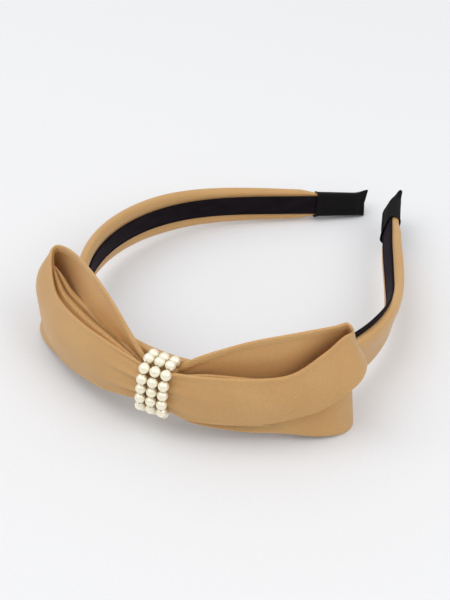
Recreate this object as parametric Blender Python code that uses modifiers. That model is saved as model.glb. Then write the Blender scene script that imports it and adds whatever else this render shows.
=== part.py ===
"""Knotted satin headband with a bow and three rows of pearls, as separate solids. Metres, +Z up.

The band is designed in its own flat frame: x to the right, y from the crown to the tips, z across
the band's width. It then leans by REST_TILT, so that it stands on the bow and on one tip, z = 0.
Places along the band are arc lengths from the middle of the crown, positive towards the right arm.
"""

import math

import bmesh
import bpy
import numpy as np
from mathutils import Matrix, Vector

MM = 0.001

# The band's centreline: half its length, and its bend (1/m) at equal steps from crown to tip.
HALF_LENGTH = 200 * MM
BEND = {
    "left": (20.1, 17.4, 14.5, 14.0, 0.2, -0.6),
    "right": (20.1, 17.4, 14.5, 14.4, -2.0, -4.2),
}
TWIST_AT_TIP = math.radians(22)
LIFT_AT_TIP = {"left": -2.1 * MM, "right": 4.0 * MM}
CENTRELINE_STEPS = 200

# The band's section: its widths at five stations and its thicknesses at three.
WIDTH_STATIONS = (0, 110 * MM, 170 * MM, 178 * MM, HALF_LENGTH)
WIDTHS = (18.3 * MM, 16.2 * MM, 11.9 * MM, 8.6 * MM, 7.6 * MM)
THICKNESS_STATIONS = (0, 160 * MM, HALF_LENGTH)
THICKNESSES = (3.1 * MM, 3.1 * MM, 2.4 * MM)
COVER_WALL = 0.5 * MM
COVER_SLOT = 3.0 * MM
COVER_RADIUS = 1.1 * MM
CORE_MARGIN = 3.6 * MM
CORE_RADIUS = 0.3 * MM
LINING_WIDTH = 7.6 * MM
LINING_THICKNESS = 0.9 * MM
LINING_RADIUS = 0.3 * MM
GAP = 0.3 * MM

# The flex lines between the crown and the arms, and the ends of the layers.
FLEX_LINE = 60 * MM
FLEX_GAP = 1.2 * MM
BAND_END = 198 * MM
LINING_END = 196 * MM
WRAP_START = 177.5 * MM
WRAP_END = 199 * MM
WRAP_WALL = 0.5 * MM
WRAP_RADIUS = 1.2 * MM
WRAP_STATIONS = 5
WRAP_END_BEVEL = 0.5 * MM
STATION_STEP = 10 * MM
CORNER_POINTS = 3

# The bow's centre: its place on the band, its length along it, and its section (outward, across).
KNOT_AT = 16.3 * MM
KNOT_LENGTH = 11.8 * MM
KNOT_OUTWARD = (2.9 * MM, 10.1 * MM)
KNOT_ACROSS = (-7.1 * MM, 9.0 * MM)
KNOT_RADIUS = 2.8 * MM
KNOT_STATIONS = 5

# The strands of pearls round it.
STRANDS = 3
STRAND_PITCH = 3.95 * MM
PEARLS_PER_STRAND = 9
PEARL_PITCH = 3.98 * MM
PEARL_RADIUS = 1.85 * MM
PEARL_BORE = 0.5 * MM
PEARL_CLEARANCE = 0.25 * MM
PEARL_OUTLINE_POINTS = 7
PEARL_STEPS = 10
PEARL_MERGE_DISTANCE = 0.01 * MM
PEARL_ROW_RISE = 0.6 * MM
STRAND_PATH_POINTS = 96
THREAD_RADIUS = 0.2 * MM
THREAD_FACETS = 2
THREAD_BACK = 2.25 * MM
THREAD_BACK_POINTS = 14

# The bow's ribbon, and the stations of each loop in millimetres of the band's frame: the plan
# point and height of its lower edge, then of its upper edge, from the knot round and back to it.
RIBBON_WALL = 0.9 * MM
RIBBON_BELLY = 1.2 * MM
RIBBON_ROWS = 5
RIBBON_COLUMNS = 30
EDGE_CURVE_POINTS = 120
EDGE_CURVE_STEPS = 12
LEFT_LOOP = (
    ((12.2, -7.2, -6.0), (12.4, -7.2, 8.6)),
    ((-1.0, -9.4, -9.0), (-2.0, -8.8, 10.4)),
    ((-15.0, -8.4, -10.8), (-15.0, -7.4, 9.8)),
    ((-28.0, -5.2, -13.0), (-27.0, -4.2, 9.2)),
    ((-40.0, -0.8, -15.8), (-36.5, 0.4, 9.2)),
    ((-48.0, 3.6, -17.4), (-43.6, 5.6, 13.2)),
    ((-50.4, 7.6, -17.4), (-46.6, 9.8, 17.4)),
    ((-46.8, 10.2, -14.0), (-43.8, 12.2, 18.8)),
    ((-37.0, 8.8, -11.0), (-36.0, 9.9, 20.6)),
    ((-20.0, 0.2, -9.5), (-18.4, 1.2, 24.8)),
    ((-6.0, -3.4, -8.5), (-5.0, -2.6, 21.2)),
    ((3.0, -3.6, -7.5), (3.4, -3.3, 15.0)),
    ((10.6, -2.9, -5.6), (10.8, -2.9, 8.2)),
)
RIGHT_LOOP = (
    ((24.4, -2.4, -6.8), (24.6, -2.6, 9.6)),
    ((33.0, -0.2, -9.2), (33.0, 0.0, 11.2)),
    ((45.6, 10.0, -10.9), (45.2, 10.4, 11.6)),
    ((55.0, 20.4, -12.0), (54.0, 21.2, 12.8)),
    ((61.6, 31.2, -13.4), (59.4, 31.0, 19.6)),
    ((65.6, 42.6, -14.6), (62.4, 38.6, 26.0)),
    ((65.4, 49.6, -14.6), (61.8, 44.2, 25.2)),
    ((60.4, 49.6, -12.0), (59.2, 43.4, 25.0)),
    ((58.0, 40.4, -10.0), (57.2, 38.4, 26.2)),
    ((51.6, 26.2, -9.2), (51.0, 26.0, 26.2)),
    ((40.6, 13.6, -8.6), (40.6, 13.6, 22.8)),
    ((29.6, 4.8, -7.6), (29.6, 4.8, 15.6)),
    ((23.3, 1.5, -5.8), (23.3, 1.5, 9.4)),
)

# The stance: the lean, and the way from the crown's middle to the middle of the footprint.
REST_TILT = math.radians(4.15)
PLACE = Vector((-4.26, -71.99, 17.8)) * MM
FLOOR_SIZE = 300 * MM
FLOOR_DEPTH = 20 * MM

# Each finish: its colour and its roughness.
SATIN = (0.62, 0.42, 0.22), 0.42
LINING_BLACK = (0.012, 0.010, 0.014), 0.8
CORE_WHITE = (0.80, 0.80, 0.78), 0.45
PEARL_IVORY = (0.86, 0.80, 0.64), 0.18
THREAD_CREAM = (0.78, 0.70, 0.55), 0.7
SMOOTH_ANGLE = math.radians(40)

WORLD = Matrix.Translation(PLACE) @ Matrix.Rotation(-REST_TILT, 4, "X")


def material(name, colour, roughness):
    made = bpy.data.materials.new(name)
    made.use_nodes = True
    shader = made.node_tree.nodes["Principled BSDF"]
    shader.inputs["Base Color"].default_value = (*colour, 1.0)
    shader.inputs["Roughness"].default_value = roughness
    return made


def centreline(arc):
    """The plan point and the heading of the band's centreline at an arc length from the crown."""
    along = np.linspace(0, abs(arc), CENTRELINE_STEPS + 1)
    bends = BEND[side_of(arc)]
    bend = np.interp(along, np.linspace(0, HALF_LENGTH, len(bends)), bends)
    step = abs(arc) / CENTRELINE_STEPS
    heading = np.concatenate(([0], np.cumsum((bend[1:] + bend[:-1]) / 2 * step)))
    middle = (heading[1:] + heading[:-1]) / 2
    side = math.copysign(1, arc)
    x = side * float(np.sum(np.cos(middle)) * step)
    y = float(np.sum(np.sin(middle)) * step)
    return x, y, side * float(heading[-1])


def side_of(arc):
    return "right" if arc > 0 else "left"


def width_at(arc):
    return float(np.interp(abs(arc), WIDTH_STATIONS, WIDTHS))


def half_thickness_at(arc):
    return float(np.interp(abs(arc), THICKNESS_STATIONS, THICKNESSES)) / 2


def band_point(arc, outward, across):
    """A point of the band's frame, from its place along, out of and across the twisted band."""
    x, y, heading = centreline(arc)
    share = (arc / HALF_LENGTH) ** 2
    twist = TWIST_AT_TIP * share
    lift = LIFT_AT_TIP[side_of(arc)] * share
    out = outward * math.cos(twist) + across * math.sin(twist)
    high = -outward * math.sin(twist) + across * math.cos(twist)
    return Vector((x + out * math.sin(heading), y - out * math.cos(heading), high + lift))


def arc_points(centre, radius, start, end):
    """Points of a rounded corner, as (outward, across) pairs."""
    angles = np.linspace(start, end, CORNER_POINTS)
    return [
        (centre[0] + radius * math.cos(angle), centre[1] + radius * math.sin(angle))
        for angle in angles
    ]


def rounded_section(low, high, half_width, radius):
    """A closed rounded rectangle from low to high outward, counter-clockwise."""
    quarter = math.pi / 2
    inner, outer, side = low + radius, high - radius, half_width - radius
    return (
        arc_points((outer, -side), radius, -quarter, 0)
        + arc_points((outer, side), radius, 0, quarter)
        + arc_points((inner, side), radius, quarter, 2 * quarter)
        + arc_points((inner, -side), radius, 2 * quarter, 3 * quarter)
    )


def cover_section(arc):
    """The satin's open section: out from the slot in the inner face, round the band and back."""
    half, side = half_thickness_at(arc), width_at(arc) / 2
    closed = rounded_section(-half, half, side, COVER_RADIUS)
    turned = closed[-CORNER_POINTS:] + closed[:-CORNER_POINTS]
    return [(-half, -COVER_SLOT / 2)] + turned + [(-half, COVER_SLOT / 2)]


def core_section(arc):
    half = half_thickness_at(arc) - COVER_WALL - GAP
    return rounded_section(-half, half, (width_at(arc) - CORE_MARGIN) / 2, CORE_RADIUS)


def lining_section(arc):
    top = -half_thickness_at(arc) - GAP
    return rounded_section(top - LINING_THICKNESS, top, LINING_WIDTH / 2, LINING_RADIUS)


def wrap_section(arc, margin=0.0):
    """The tip wrap's outer section: it clears the cover and the lining by GAP all round."""
    clear = GAP + WRAP_WALL - margin
    low = -half_thickness_at(arc) - GAP - LINING_THICKNESS - clear
    high = half_thickness_at(arc) + clear
    return rounded_section(low, high, width_at(arc) / 2 + clear, WRAP_RADIUS)


def stations(start, end):
    return np.linspace(start, end, max(2, math.ceil(abs(end - start) / STATION_STEP) + 1))


def loft(name, rings, closed, caps=(False, False)):
    """A surface through rings of points in the band's frame, set in the world."""
    made = bmesh.new()
    rows = [[made.verts.new(WORLD @ point) for point in ring] for ring in rings]
    count = len(rings[0])
    for low, high in zip(rows, rows[1:]):
        for j in range(count if closed else count - 1):
            k = (j + 1) % count
            made.faces.new((low[j], high[j], high[k], low[k]))
    if caps[0]:
        made.faces.new(rows[0])
    if caps[1]:
        made.faces.new(rows[-1][::-1])
    mesh = bpy.data.meshes.new(name)
    made.to_mesh(mesh)
    made.free()
    return mesh


def put_origin(mesh, place):
    """Moves the mesh's points so that its object can stand at place, which is in the world."""
    mesh.transform(Matrix.Translation(-place))


def add_part(name, data, finish, place=None, parent=None):
    """Adds one named sub-part to the headband's collection, at place in the world."""
    part = bpy.data.objects.new(name, data)
    part.data.materials.append(finish)
    headband.objects.link(part)
    if parent is not None:
        part.parent = parent
        part.matrix_parent_inverse = parent.matrix_world.inverted()
    if place is not None:
        part.location = place
    return part


def smooth(part):
    part.data.shade_smooth()
    part.data.set_sharp_from_angle(angle=SMOOTH_ANGLE)


def solidify(part, thickness, offset):
    shell = part.modifiers.new("wall", "SOLIDIFY")
    shell.thickness = thickness
    shell.offset = offset


def swept(name, section, start, end, finish, parent, shell=False):
    """A layer of the band between two arc lengths: a solid strip, or a shell open along a slot."""
    rings = [
        [band_point(arc, *pair) for pair in section(arc)] for arc in stations(start, end)
    ]
    mesh = loft(name, rings, not shell, (not shell, not shell))
    put_origin(mesh, parent.location)
    part = add_part(name, mesh, finish, parent.location, parent)
    if shell:
        solidify(part, COVER_WALL, -1)
    smooth(part)
    return part


def band_layers(label, start, end, parent):
    """The core, the cover and the lining of one length of the band."""
    swept(f"core_{label}", core_section, *clip(start, end, BAND_END), core_plastic, parent)
    swept(f"cover_{label}", cover_section, *clip(start, end, BAND_END), satin, parent, True)
    swept(f"lining_{label}", lining_section, *clip(start, end, LINING_END), black_ribbon, parent)


def clip(start, end, limit):
    return max(start, -limit), min(end, limit)


def tip_wrap(label, side, parent):
    """The ribbon cap on the end of an arm: a cup that is open towards the crown."""
    arcs = np.linspace(WRAP_START, WRAP_END, WRAP_STATIONS)
    rings = [[band_point(side * arc, *pair) for pair in wrap_section(arc)] for arc in arcs]
    end_arc = side * (WRAP_END + WRAP_END_BEVEL)
    rings.append([band_point(end_arc, *pair) for pair in wrap_section(WRAP_END, WRAP_END_BEVEL)])
    if side < 0:
        rings.reverse()
    mesh = loft(f"tip_wrap_{label}", rings, True, (side < 0, side > 0))
    put_origin(mesh, parent.location)
    part = add_part(f"tip_wrap_{label}", mesh, black_ribbon, parent.location, parent)
    solidify(part, WRAP_WALL, -1)
    smooth(part)


def flow(points, count):
    """Evenly spaced points on a smooth curve through the given ones (Catmull-Rom)."""
    points = np.array(points, float)
    padded = np.vstack((2 * points[0] - points[1], points, 2 * points[-1] - points[-2]))
    fine = []
    for a, b, c, d in zip(padded, padded[1:], padded[2:], padded[3:]):
        for t in np.linspace(0, 1, EDGE_CURVE_STEPS, endpoint=False):
            fine.append(
                0.5 * (2 * b + (c - a) * t + (2 * a - 5 * b + 4 * c - d) * t**2
                       + (3 * b - a - 3 * c + d) * t**3)
            )
    fine = np.array(fine + [points[-1]])
    run = np.concatenate(([0], np.cumsum(np.linalg.norm(np.diff(fine, axis=0), axis=1))))
    wanted = np.linspace(0, run[-1], count)
    return np.stack([np.interp(wanted, run, fine[:, axis]) for axis in range(3)], -1)


def bow_loop(name, loop, side):
    """One loop of the bow: ribbon that runs out from the knot, turns round and comes back."""
    pairs = flow_pairs(loop)
    middle = (pairs[:, 0] + pairs[:, 1]) / 2
    heading = np.gradient(middle[:, :2], axis=0)
    heading /= np.linalg.norm(heading, axis=1)[:, None]
    front = np.maximum(np.cos(np.linspace(0, math.pi, len(pairs))), 0)
    rings = []
    for (low, high), (run_x, run_y), fullness in zip(pairs, heading, front):
        belly = np.array((run_y, -run_x, 0)) * side * RIBBON_BELLY * fullness
        rings.append([
            Vector(low + (high - low) * t + belly * math.sin(math.pi * t))
            for t in np.linspace(0, 1, RIBBON_ROWS)
        ])
    if side < 0:
        rings.reverse()
    part = add_part(name, loft(name, rings, False), satin, parent=crown)
    solidify(part, RIBBON_WALL, 0)
    rest = part.modifiers.new("rests_flat", "BOOLEAN")
    rest.operation = "DIFFERENCE"
    rest.object = floor_block
    smooth(part)


def flow_pairs(loop):
    """The lower and upper edges of a loop, evenly spaced along their middle, in metres."""
    edges = np.array(loop, float) * MM
    low = flow(edges[:, 0], EDGE_CURVE_POINTS)
    high = flow(edges[:, 1], EDGE_CURVE_POINTS)
    knots_low, knots_high = nearest(edges[:, 0], low), nearest(edges[:, 1], high)
    wanted = np.linspace(0, len(edges) - 1, RIBBON_COLUMNS)
    places = np.arange(len(edges))
    picked = []
    for curve, knots in ((low, knots_low), (high, knots_high)):
        index = np.interp(wanted, places, knots)
        picked.append(np.stack([
            np.interp(index, np.arange(len(curve)), curve[:, axis]) for axis in range(3)
        ], -1))
    return np.stack(picked, 1)


def nearest(points, curve):
    """The index of the curve's point that is nearest each given point."""
    return [int(np.argmin(np.linalg.norm(curve - point, axis=1))) for point in points]


def knot_point(along, outward, across):
    """A point near the knot, on straight axes set at the knot's place on the band."""
    x, y, heading = centreline(KNOT_AT)
    tangent = Vector((math.cos(heading), math.sin(heading), 0))
    normal = Vector((math.sin(heading), -math.cos(heading), 0))
    return Vector((x, y, across)) + tangent * along + normal * outward


def knot_section(margin):
    """The section of the bow's centre, grown all round by margin, as (outward, across) pairs."""
    low, high = KNOT_OUTWARD[0] - margin, KNOT_OUTWARD[1] + margin
    bottom, top = KNOT_ACROSS[0] - margin, KNOT_ACROSS[1] + margin
    level = (bottom + top) / 2
    ring = rounded_section(low, high, (top - bottom) / 2, KNOT_RADIUS + margin)
    return [(out, across + level) for out, across in ring]


def bow_centre():
    """The gathered middle of the bow, which the strands of pearls wrap."""
    rings = [
        [knot_point(along, *pair) for pair in knot_section(0)]
        for along in np.linspace(-KNOT_LENGTH / 2, KNOT_LENGTH / 2, KNOT_STATIONS)
    ]
    part = add_part("bow_centre", loft("bow_centre", rings, True, (True, True)), satin, parent=crown)
    smooth(part)


def strand_path():
    """The closed path of a strand's thread, as (outward, across) pairs, from the back upwards."""
    grown = np.array(knot_section(PEARL_RADIUS + PEARL_CLEARANCE))
    grown[:, 0] = np.maximum(grown[:, 0], THREAD_BACK)
    closed = np.vstack((grown, grown[:1]))
    run = np.concatenate(([0], np.cumsum(np.linalg.norm(np.diff(closed, axis=0), axis=1))))
    wanted = np.linspace(0, run[-1], STRAND_PATH_POINTS, endpoint=False)
    path = np.stack([np.interp(wanted, run, closed[:, axis]) for axis in range(2)], -1)
    return path, run[-1]


def along_path(path, length, distance):
    """The point and the direction at a distance along the closed path."""
    spot = (distance / length * len(path)) % len(path)
    first = int(spot)
    a, b = path[first], path[(first + 1) % len(path)]
    return a + (b - a) * (spot - first), (b - a) / np.linalg.norm(b - a)


def pearl_mesh():
    """Half the outline of a drilled pearl, which a Screw modifier turns about Z."""
    top = math.sqrt(PEARL_RADIUS**2 - PEARL_BORE**2)
    edge = math.atan2(PEARL_BORE, top)
    angles = np.linspace(edge, math.pi - edge, PEARL_OUTLINE_POINTS)
    outline = [(PEARL_RADIUS * math.sin(a), 0, PEARL_RADIUS * math.cos(a)) for a in angles]
    mesh = bpy.data.meshes.new("pearl")
    count = len(outline)
    mesh.from_pydata(outline, [(j, (j + 1) % count) for j in range(count)], [])
    return mesh


def pearl(name, mesh, place, direction, parent):
    bead = bpy.data.objects.new(name, mesh)
    headband.objects.link(bead)
    turn = direction.to_track_quat("Z", "Y").to_matrix().to_4x4()
    bead.parent = parent
    bead.matrix_parent_inverse = parent.matrix_world.inverted()
    bead.matrix_basis = Matrix.Translation(place) @ turn
    screw = bead.modifiers.new("turned", "SCREW")
    screw.steps = PEARL_STEPS
    screw.render_steps = PEARL_STEPS
    screw.use_merge_vertices = True
    screw.merge_threshold = PEARL_MERGE_DISTANCE
    screw.use_smooth_shade = True


def strand(number, offset, path, length, mesh):
    """One thread round the bow's centre, and its pearls over the top, down the front and under."""
    route = []
    first = front_distance(path, length) - (PEARLS_PER_STRAND - 1) / 2 * PEARL_PITCH
    for bead in range(PEARLS_PER_STRAND):
        spot, way = along_path(path, length, first + bead * PEARL_PITCH)
        route += [spot - way * PEARL_RADIUS, spot + way * PEARL_RADIUS]
        place = WORLD @ knot_point(offset, *spot)
        ahead = WORLD @ knot_point(offset, *(spot + way * MM))
        pearl(f"pearl_{number}_{bead + 1}", mesh, place, ahead - place, crown)
    last = first + (PEARLS_PER_STRAND - 1) * PEARL_PITCH + PEARL_RADIUS
    rest = length - (last - first) - PEARL_RADIUS
    for share in np.linspace(0, 1, THREAD_BACK_POINTS + 2)[1:-1]:
        route.append(along_path(path, length, last + share * rest)[0])
    curve = bpy.data.curves.new(f"thread_{number}", "CURVE")
    curve.dimensions = "3D"
    curve.bevel_depth = THREAD_RADIUS
    curve.bevel_resolution = THREAD_FACETS
    spline = curve.splines.new("POLY")
    spline.points.add(len(route) - 1)
    for point, (out, across) in zip(spline.points, route):
        point.co = (*(WORLD @ knot_point(offset, out, across)), 1)
    spline.use_cyclic_u = True
    add_part(f"thread_{number}", curve, thread_cotton, parent=crown)


def front_distance(path, length):
    """How far along the path the middle of the pearl row lies: the front, a little above centre."""
    target = np.array((KNOT_OUTWARD[1] + PEARL_RADIUS, sum(KNOT_ACROSS) / 2 + PEARL_ROW_RISE))
    return int(np.argmin(np.linalg.norm(path - target, axis=1))) / len(path) * length


def body_empty(name, place):
    empty = bpy.data.objects.new(name, None)
    empty.location = place
    headband.objects.link(empty)
    return empty


for old in list(bpy.data.objects):
    bpy.data.objects.remove(old, do_unlink=True)

headband = bpy.data.collections.new("knotted_headband")
bpy.context.scene.collection.children.link(headband)

satin = material("satin", *SATIN)
black_ribbon = material("black_ribbon", *LINING_BLACK)
core_plastic = material("core_plastic", *CORE_WHITE)
pearl_gloss = material("pearl_gloss", *PEARL_IVORY)
thread_cotton = material("thread_cotton", *THREAD_CREAM)

cutters = bpy.data.collections.new("cutters")
bpy.context.scene.collection.children.link(cutters)
bpy.ops.mesh.primitive_cube_add(location=(0, 0, -FLOOR_DEPTH / 2))
floor_block = bpy.context.object
floor_block.name = "floor_block"
floor_block.data.transform(Matrix.Diagonal((FLOOR_SIZE / 2, FLOOR_SIZE / 2, FLOOR_DEPTH / 2, 1)))
floor_block.hide_render = True
floor_block.display_type = "WIRE"
for holder in list(floor_block.users_collection):
    holder.objects.unlink(floor_block)
cutters.objects.link(floor_block)

crown = body_empty("crown", WORLD @ Vector((0, 0, 0)))
left_arm = body_empty("left_arm", WORLD @ band_point(-FLEX_LINE, 0, 0))
right_arm = body_empty("right_arm", WORLD @ band_point(FLEX_LINE, 0, 0))
bpy.context.view_layer.update()

near, far = FLEX_LINE - FLEX_GAP / 2, FLEX_LINE + FLEX_GAP / 2
band_layers("crown", -near, near, crown)
band_layers("left", -HALF_LENGTH, -far, left_arm)
band_layers("right", far, HALF_LENGTH, right_arm)
tip_wrap("left", -1, left_arm)
tip_wrap("right", 1, right_arm)

bow_loop("bow_loop_left", LEFT_LOOP, -1)
bow_loop("bow_loop_right", RIGHT_LOOP, 1)
bow_centre()

thread_path, thread_length = strand_path()
bead_outline = pearl_mesh()
bead_outline.materials.append(pearl_gloss)
for row in range(STRANDS):
    shift = (row - (STRANDS - 1) / 2) * STRAND_PITCH
    strand(row + 1, shift, thread_path, thread_length, bead_outline)
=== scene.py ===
"""The looks of the knotted headband: satin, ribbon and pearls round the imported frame.

Metres, +Z up. Shapes are worked out in the band's own flat frame, as in the CAD: x to the right,
y from the crown to the tips, z across the band. WORLD leans it by REST_TILT onto the surface that
it stands on.
"""
import math

import bmesh
import bpy
import numpy as np
from mathutils import Matrix, Vector


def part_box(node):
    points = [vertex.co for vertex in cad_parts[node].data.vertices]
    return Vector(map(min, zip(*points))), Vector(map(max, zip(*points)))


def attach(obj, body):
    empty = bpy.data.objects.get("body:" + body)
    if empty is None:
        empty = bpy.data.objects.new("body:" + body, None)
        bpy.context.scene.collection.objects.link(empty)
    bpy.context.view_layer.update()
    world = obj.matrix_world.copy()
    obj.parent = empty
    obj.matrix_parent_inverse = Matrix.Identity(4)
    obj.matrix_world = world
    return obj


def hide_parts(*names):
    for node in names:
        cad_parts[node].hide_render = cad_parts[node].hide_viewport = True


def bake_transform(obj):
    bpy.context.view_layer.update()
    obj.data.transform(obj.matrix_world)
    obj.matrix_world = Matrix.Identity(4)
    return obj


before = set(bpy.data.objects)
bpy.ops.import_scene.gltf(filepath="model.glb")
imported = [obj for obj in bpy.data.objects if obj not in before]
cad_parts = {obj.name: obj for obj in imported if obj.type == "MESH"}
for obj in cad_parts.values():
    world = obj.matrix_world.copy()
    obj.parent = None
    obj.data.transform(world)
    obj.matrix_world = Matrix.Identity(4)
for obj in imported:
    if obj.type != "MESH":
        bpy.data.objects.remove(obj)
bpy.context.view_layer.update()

MM = 0.001

# The sides' names, by the sign of x.
SIDES = {-1: "left", 1: "right"}

# The band's centreline, as in the CAD: its bend (1/m) at equal steps from the crown to the tip.
HALF_LENGTH = 200 * MM
CENTRELINE_MARGIN = 4 * MM
CENTRELINE_POINTS = 818
BEND = {
    -1: (20.1, 17.4, 14.5, 14.0, 0.2, -0.6),
    1: (20.1, 17.4, 14.5, 14.4, -2.0, -4.2),
}
TWIST_AT_TIP = math.radians(22)
LIFT_AT_TIP = {-1: -2.1 * MM, 1: 4.0 * MM}
WIDTH_STATIONS = (0, 110 * MM, 170 * MM, 178 * MM, HALF_LENGTH)
WIDTHS = (18.3 * MM, 16.2 * MM, 11.9 * MM, 8.6 * MM, 7.6 * MM)
THICKNESS_STATIONS = (0, 160 * MM, HALF_LENGTH)
THICKNESSES = (3.1 * MM, 3.1 * MM, 2.4 * MM)
REST_TILT = math.radians(4.15)
PLACE = Vector((-4.26, -71.99, 17.8)) * MM
WORLD = Matrix.Translation(PLACE) @ Matrix.Rotation(-REST_TILT, 4, "X")

# The layers of the band: where they end, and the stretch over which an arm bends.
BAND_END = 190 * MM
BAND_RINGS = 260
LINING_END = 189 * MM
LINING_WIDTH = 7.6 * MM
COVER_POINTS = 110
LINING_POINTS = 64
BLEND_START = 50 * MM
BLEND_END = 70 * MM

# The satin's borders: how far (mm) the upper and the lower one swell, where they are pinched
# towards the tip wrap, and how much the padding wavers.
BORDER_FULLNESS = {-1: (0.55, 0.12), 1: (0.55, 0.60)}
BORDER_PINCH = (160 * MM, 178 * MM)
PADDING_WOBBLE = 0.10 * MM

# The loose stretch of the right arm: where it comes and goes, how far the satin's upper edge
# rises there, how far it stands off outwards, and how far the lining rides up.
LOOSE_FROM = (34 * MM, 74 * MM)
LOOSE_TO = (100 * MM, 146 * MM)
LOOSE_RISE = 1.0 * MM
LOOSE_STAND_OFF = 0.5 * MM
LINING_SHIFT = 7.4 * MM

# The tip wraps: start, slant of the start's edge, end, margins round the band, flared end.
WRAP_START = {-1: 176.6 * MM, 1: 177.5 * MM}
WRAP_SLANT = {-1: 0.3 * MM, 1: 2.4 * MM}
WRAP_END = 199.2 * MM
WRAP_RINGS = 60
WRAP_POINTS = 320
WRAP_SIDE_MARGIN = 0.75 * MM
WRAP_FACE_MARGIN = 1.15 * MM
WRAP_OFFSET = -0.45 * MM
WRAP_FLARE = 0.35 * MM
WRAP_UPPER_FLARE = 1.0 * MM
WRAP_HOLLOW = 1.5 * MM
WRAP_END_SLANT = 0.7 * MM
WRAP_MOUTH = 0.25 * MM
RIB_PITCH = 0.52 * MM
RIB_DEPTH = 0.07 * MM

# The bow's centre and the threads' rings round it.
KNOT_AT = 16.3 * MM
KNOT_LENGTH = 11.8 * MM
KNOT_OUTWARD = (2.9 * MM, 10.1 * MM)
KNOT_ACROSS = (-7.1 * MM, 9.0 * MM)
KNOT_RINGS = 48
KNOT_POINTS = 220
KNOT_INSET = 0.3 * MM
STRANDS = 3
PEARLS_PER_STRAND = 9
PEARL_RADIUS = 1.93 * MM
PEARL_BORE = 0.42 * MM
BEAD_RINGS = 31
BEAD_STEPS = 48
BEAD_LIP = 0.06

# The loops' stations, in millimetres of the band's frame, as in the CAD: the lower edge's point,
# then the upper edge's, from the knot round and back to it. The last value of each is the height
# of the pleat's edge above the lower edge.
LEFT_LOOP = (
    ((15.6, -7.0, -5.4), (15.6, -7.0, 8.0), 0.0),
    ((12.0, -7.9, -6.0), (12.2, -7.9, 8.9), 0.0),
    ((-1.0, -9.4, -9.0), (-2.0, -8.8, 10.4), 0.0),
    ((-15.0, -8.4, -10.8), (-15.0, -7.4, 9.8), 0.0),
    ((-28.0, -5.2, -12.8), (-27.0, -4.2, 9.2), 1.5),
    ((-39.4, -0.6, -15.2), (-36.5, 0.4, 9.2), 8.0),
    ((-46.4, 4.2, -16.6), (-43.8, 5.6, 13.2), 16.5),
    ((-48.8, 8.0, -16.6), (-47.2, 9.6, 17.0), 20.5),
    ((-46.0, 10.4, -13.6), (-45.0, 12.0, 18.0), 17.0),
    ((-37.0, 8.8, -11.0), (-36.0, 9.9, 20.2), 10.0),
    ((-20.0, 0.2, -9.5), (-18.4, 1.2, 24.6), 9.0),
    ((-6.0, -3.4, -8.5), (-5.0, -2.6, 21.2), 8.0),
    ((3.0, -3.6, -7.5), (3.4, -3.3, 15.0), 7.0),
    ((10.6, -2.9, -5.6), (10.8, -2.9, 8.4), 6.0),
    ((13.6, -2.3, -4.6), (13.6, -2.3, 7.4), 5.0),
)
RIGHT_LOOP = (
    ((21.8, -5.0, -5.4), (21.8, -5.0, 8.2), 0.0),
    ((25.0, -3.8, -6.9), (25.2, -3.9, 10.0), 0.0),
    ((33.0, -0.6, -9.2), (33.0, -0.4, 11.2), 2.0),
    ((45.6, 9.8, -10.9), (45.2, 10.2, 11.6), 4.4),
    ((55.0, 20.4, -12.0), (54.0, 21.0, 12.8), 7.8),
    ((63.4, 29.4, -13.4), (59.2, 30.6, 19.4), 13.6),
    ((68.2, 38.6, -14.6), (61.8, 36.8, 24.6), 23.5),
    ((67.4, 45.6, -14.6), (62.0, 42.4, 24.8), 27.0),
    ((61.6, 48.0, -12.0), (58.8, 42.8, 26.2), 20.0),
    ((58.0, 40.4, -10.0), (56.8, 37.8, 26.2), 11.0),
    ((51.6, 26.2, -9.2), (51.0, 26.0, 26.2), 10.0),
    ((40.6, 13.6, -8.6), (40.6, 13.6, 22.8), 9.0),
    ((29.6, 4.8, -7.6), (29.6, 4.8, 15.6), 7.0),
    ((23.3, 1.5, -5.8), (23.3, 1.5, 9.6), 6.0),
    ((20.6, 0.5, -4.6), (20.6, 0.5, 8.0), 5.0),
)
LOOP_COLUMNS = 170
LOOP_POINTS = 190
LOOP_CURVE_POINTS = 600
CLOTH_WALL = 0.5 * MM

# How the loops' folds come and go: the depth (mm) to which the inner folds sink where the mouth
# closes, the pleat's height and overlap when fully formed, the stations over which it fades and
# the tip swells, and the controls over which a section passes from its mouth's part to its
# pleat's part.
FOLD_SINK = 2.2
PLEAT_FULL = 5 * MM
PLEAT_OVERLAP = 5 * MM
PLEAT_FADE = 1.6
TIP_SPREAD = 1.1
WALL_CONTROLS = 9
SPLIT_AT = 13
SPLIT_OVER = 8.0

# What sets one loop apart. By station: the turn (front wall to back wall), the span of the inner
# folds, the tip. In millimetres: the bellies of the two walls, the reach and the depth of the
# gathers, each inner fold's (depth, drop below the edge) and half width, the tip's bulge in the
# upper and the lower layer, the overhang of the pleat. Proud (0 to 1) is how far the pleat's
# edge keeps the belly. Cut is the ribbon's flat size in metres.
LEFT_LOOK = {
    "turn": (6.2, 7.8), "belly": 2.1, "back_belly": 1.4, "gather_reach": 11.0, "gathers": 0.75,
    "phase": 0.15, "ridges": ((-8.6, 1.4), (-4.4, 0.6)), "ridge_span": (0.6, 6.4),
    "ridge_width": 1.4, "proud": 0.5, "cut": (0.050, 0.140), "tip": 6.6,
    "tip_bulge": (2.6, 0.5), "overhang": 2.2,
}
RIGHT_LOOK = {
    "turn": (6.2, 7.6), "belly": 2.1, "back_belly": 1.4, "gather_reach": 9.0, "gathers": 0.4,
    "phase": 0.4, "ridges": ((-3.6, 1.5), (-2.2, 0.5)), "ridge_span": (0.8, 3.9),
    "ridge_width": 0.5, "proud": 1.0, "cut": (0.052, 0.150), "tip": 6.3,
    "tip_bulge": (4.4, 1.9), "overhang": 2.4,
}

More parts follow.
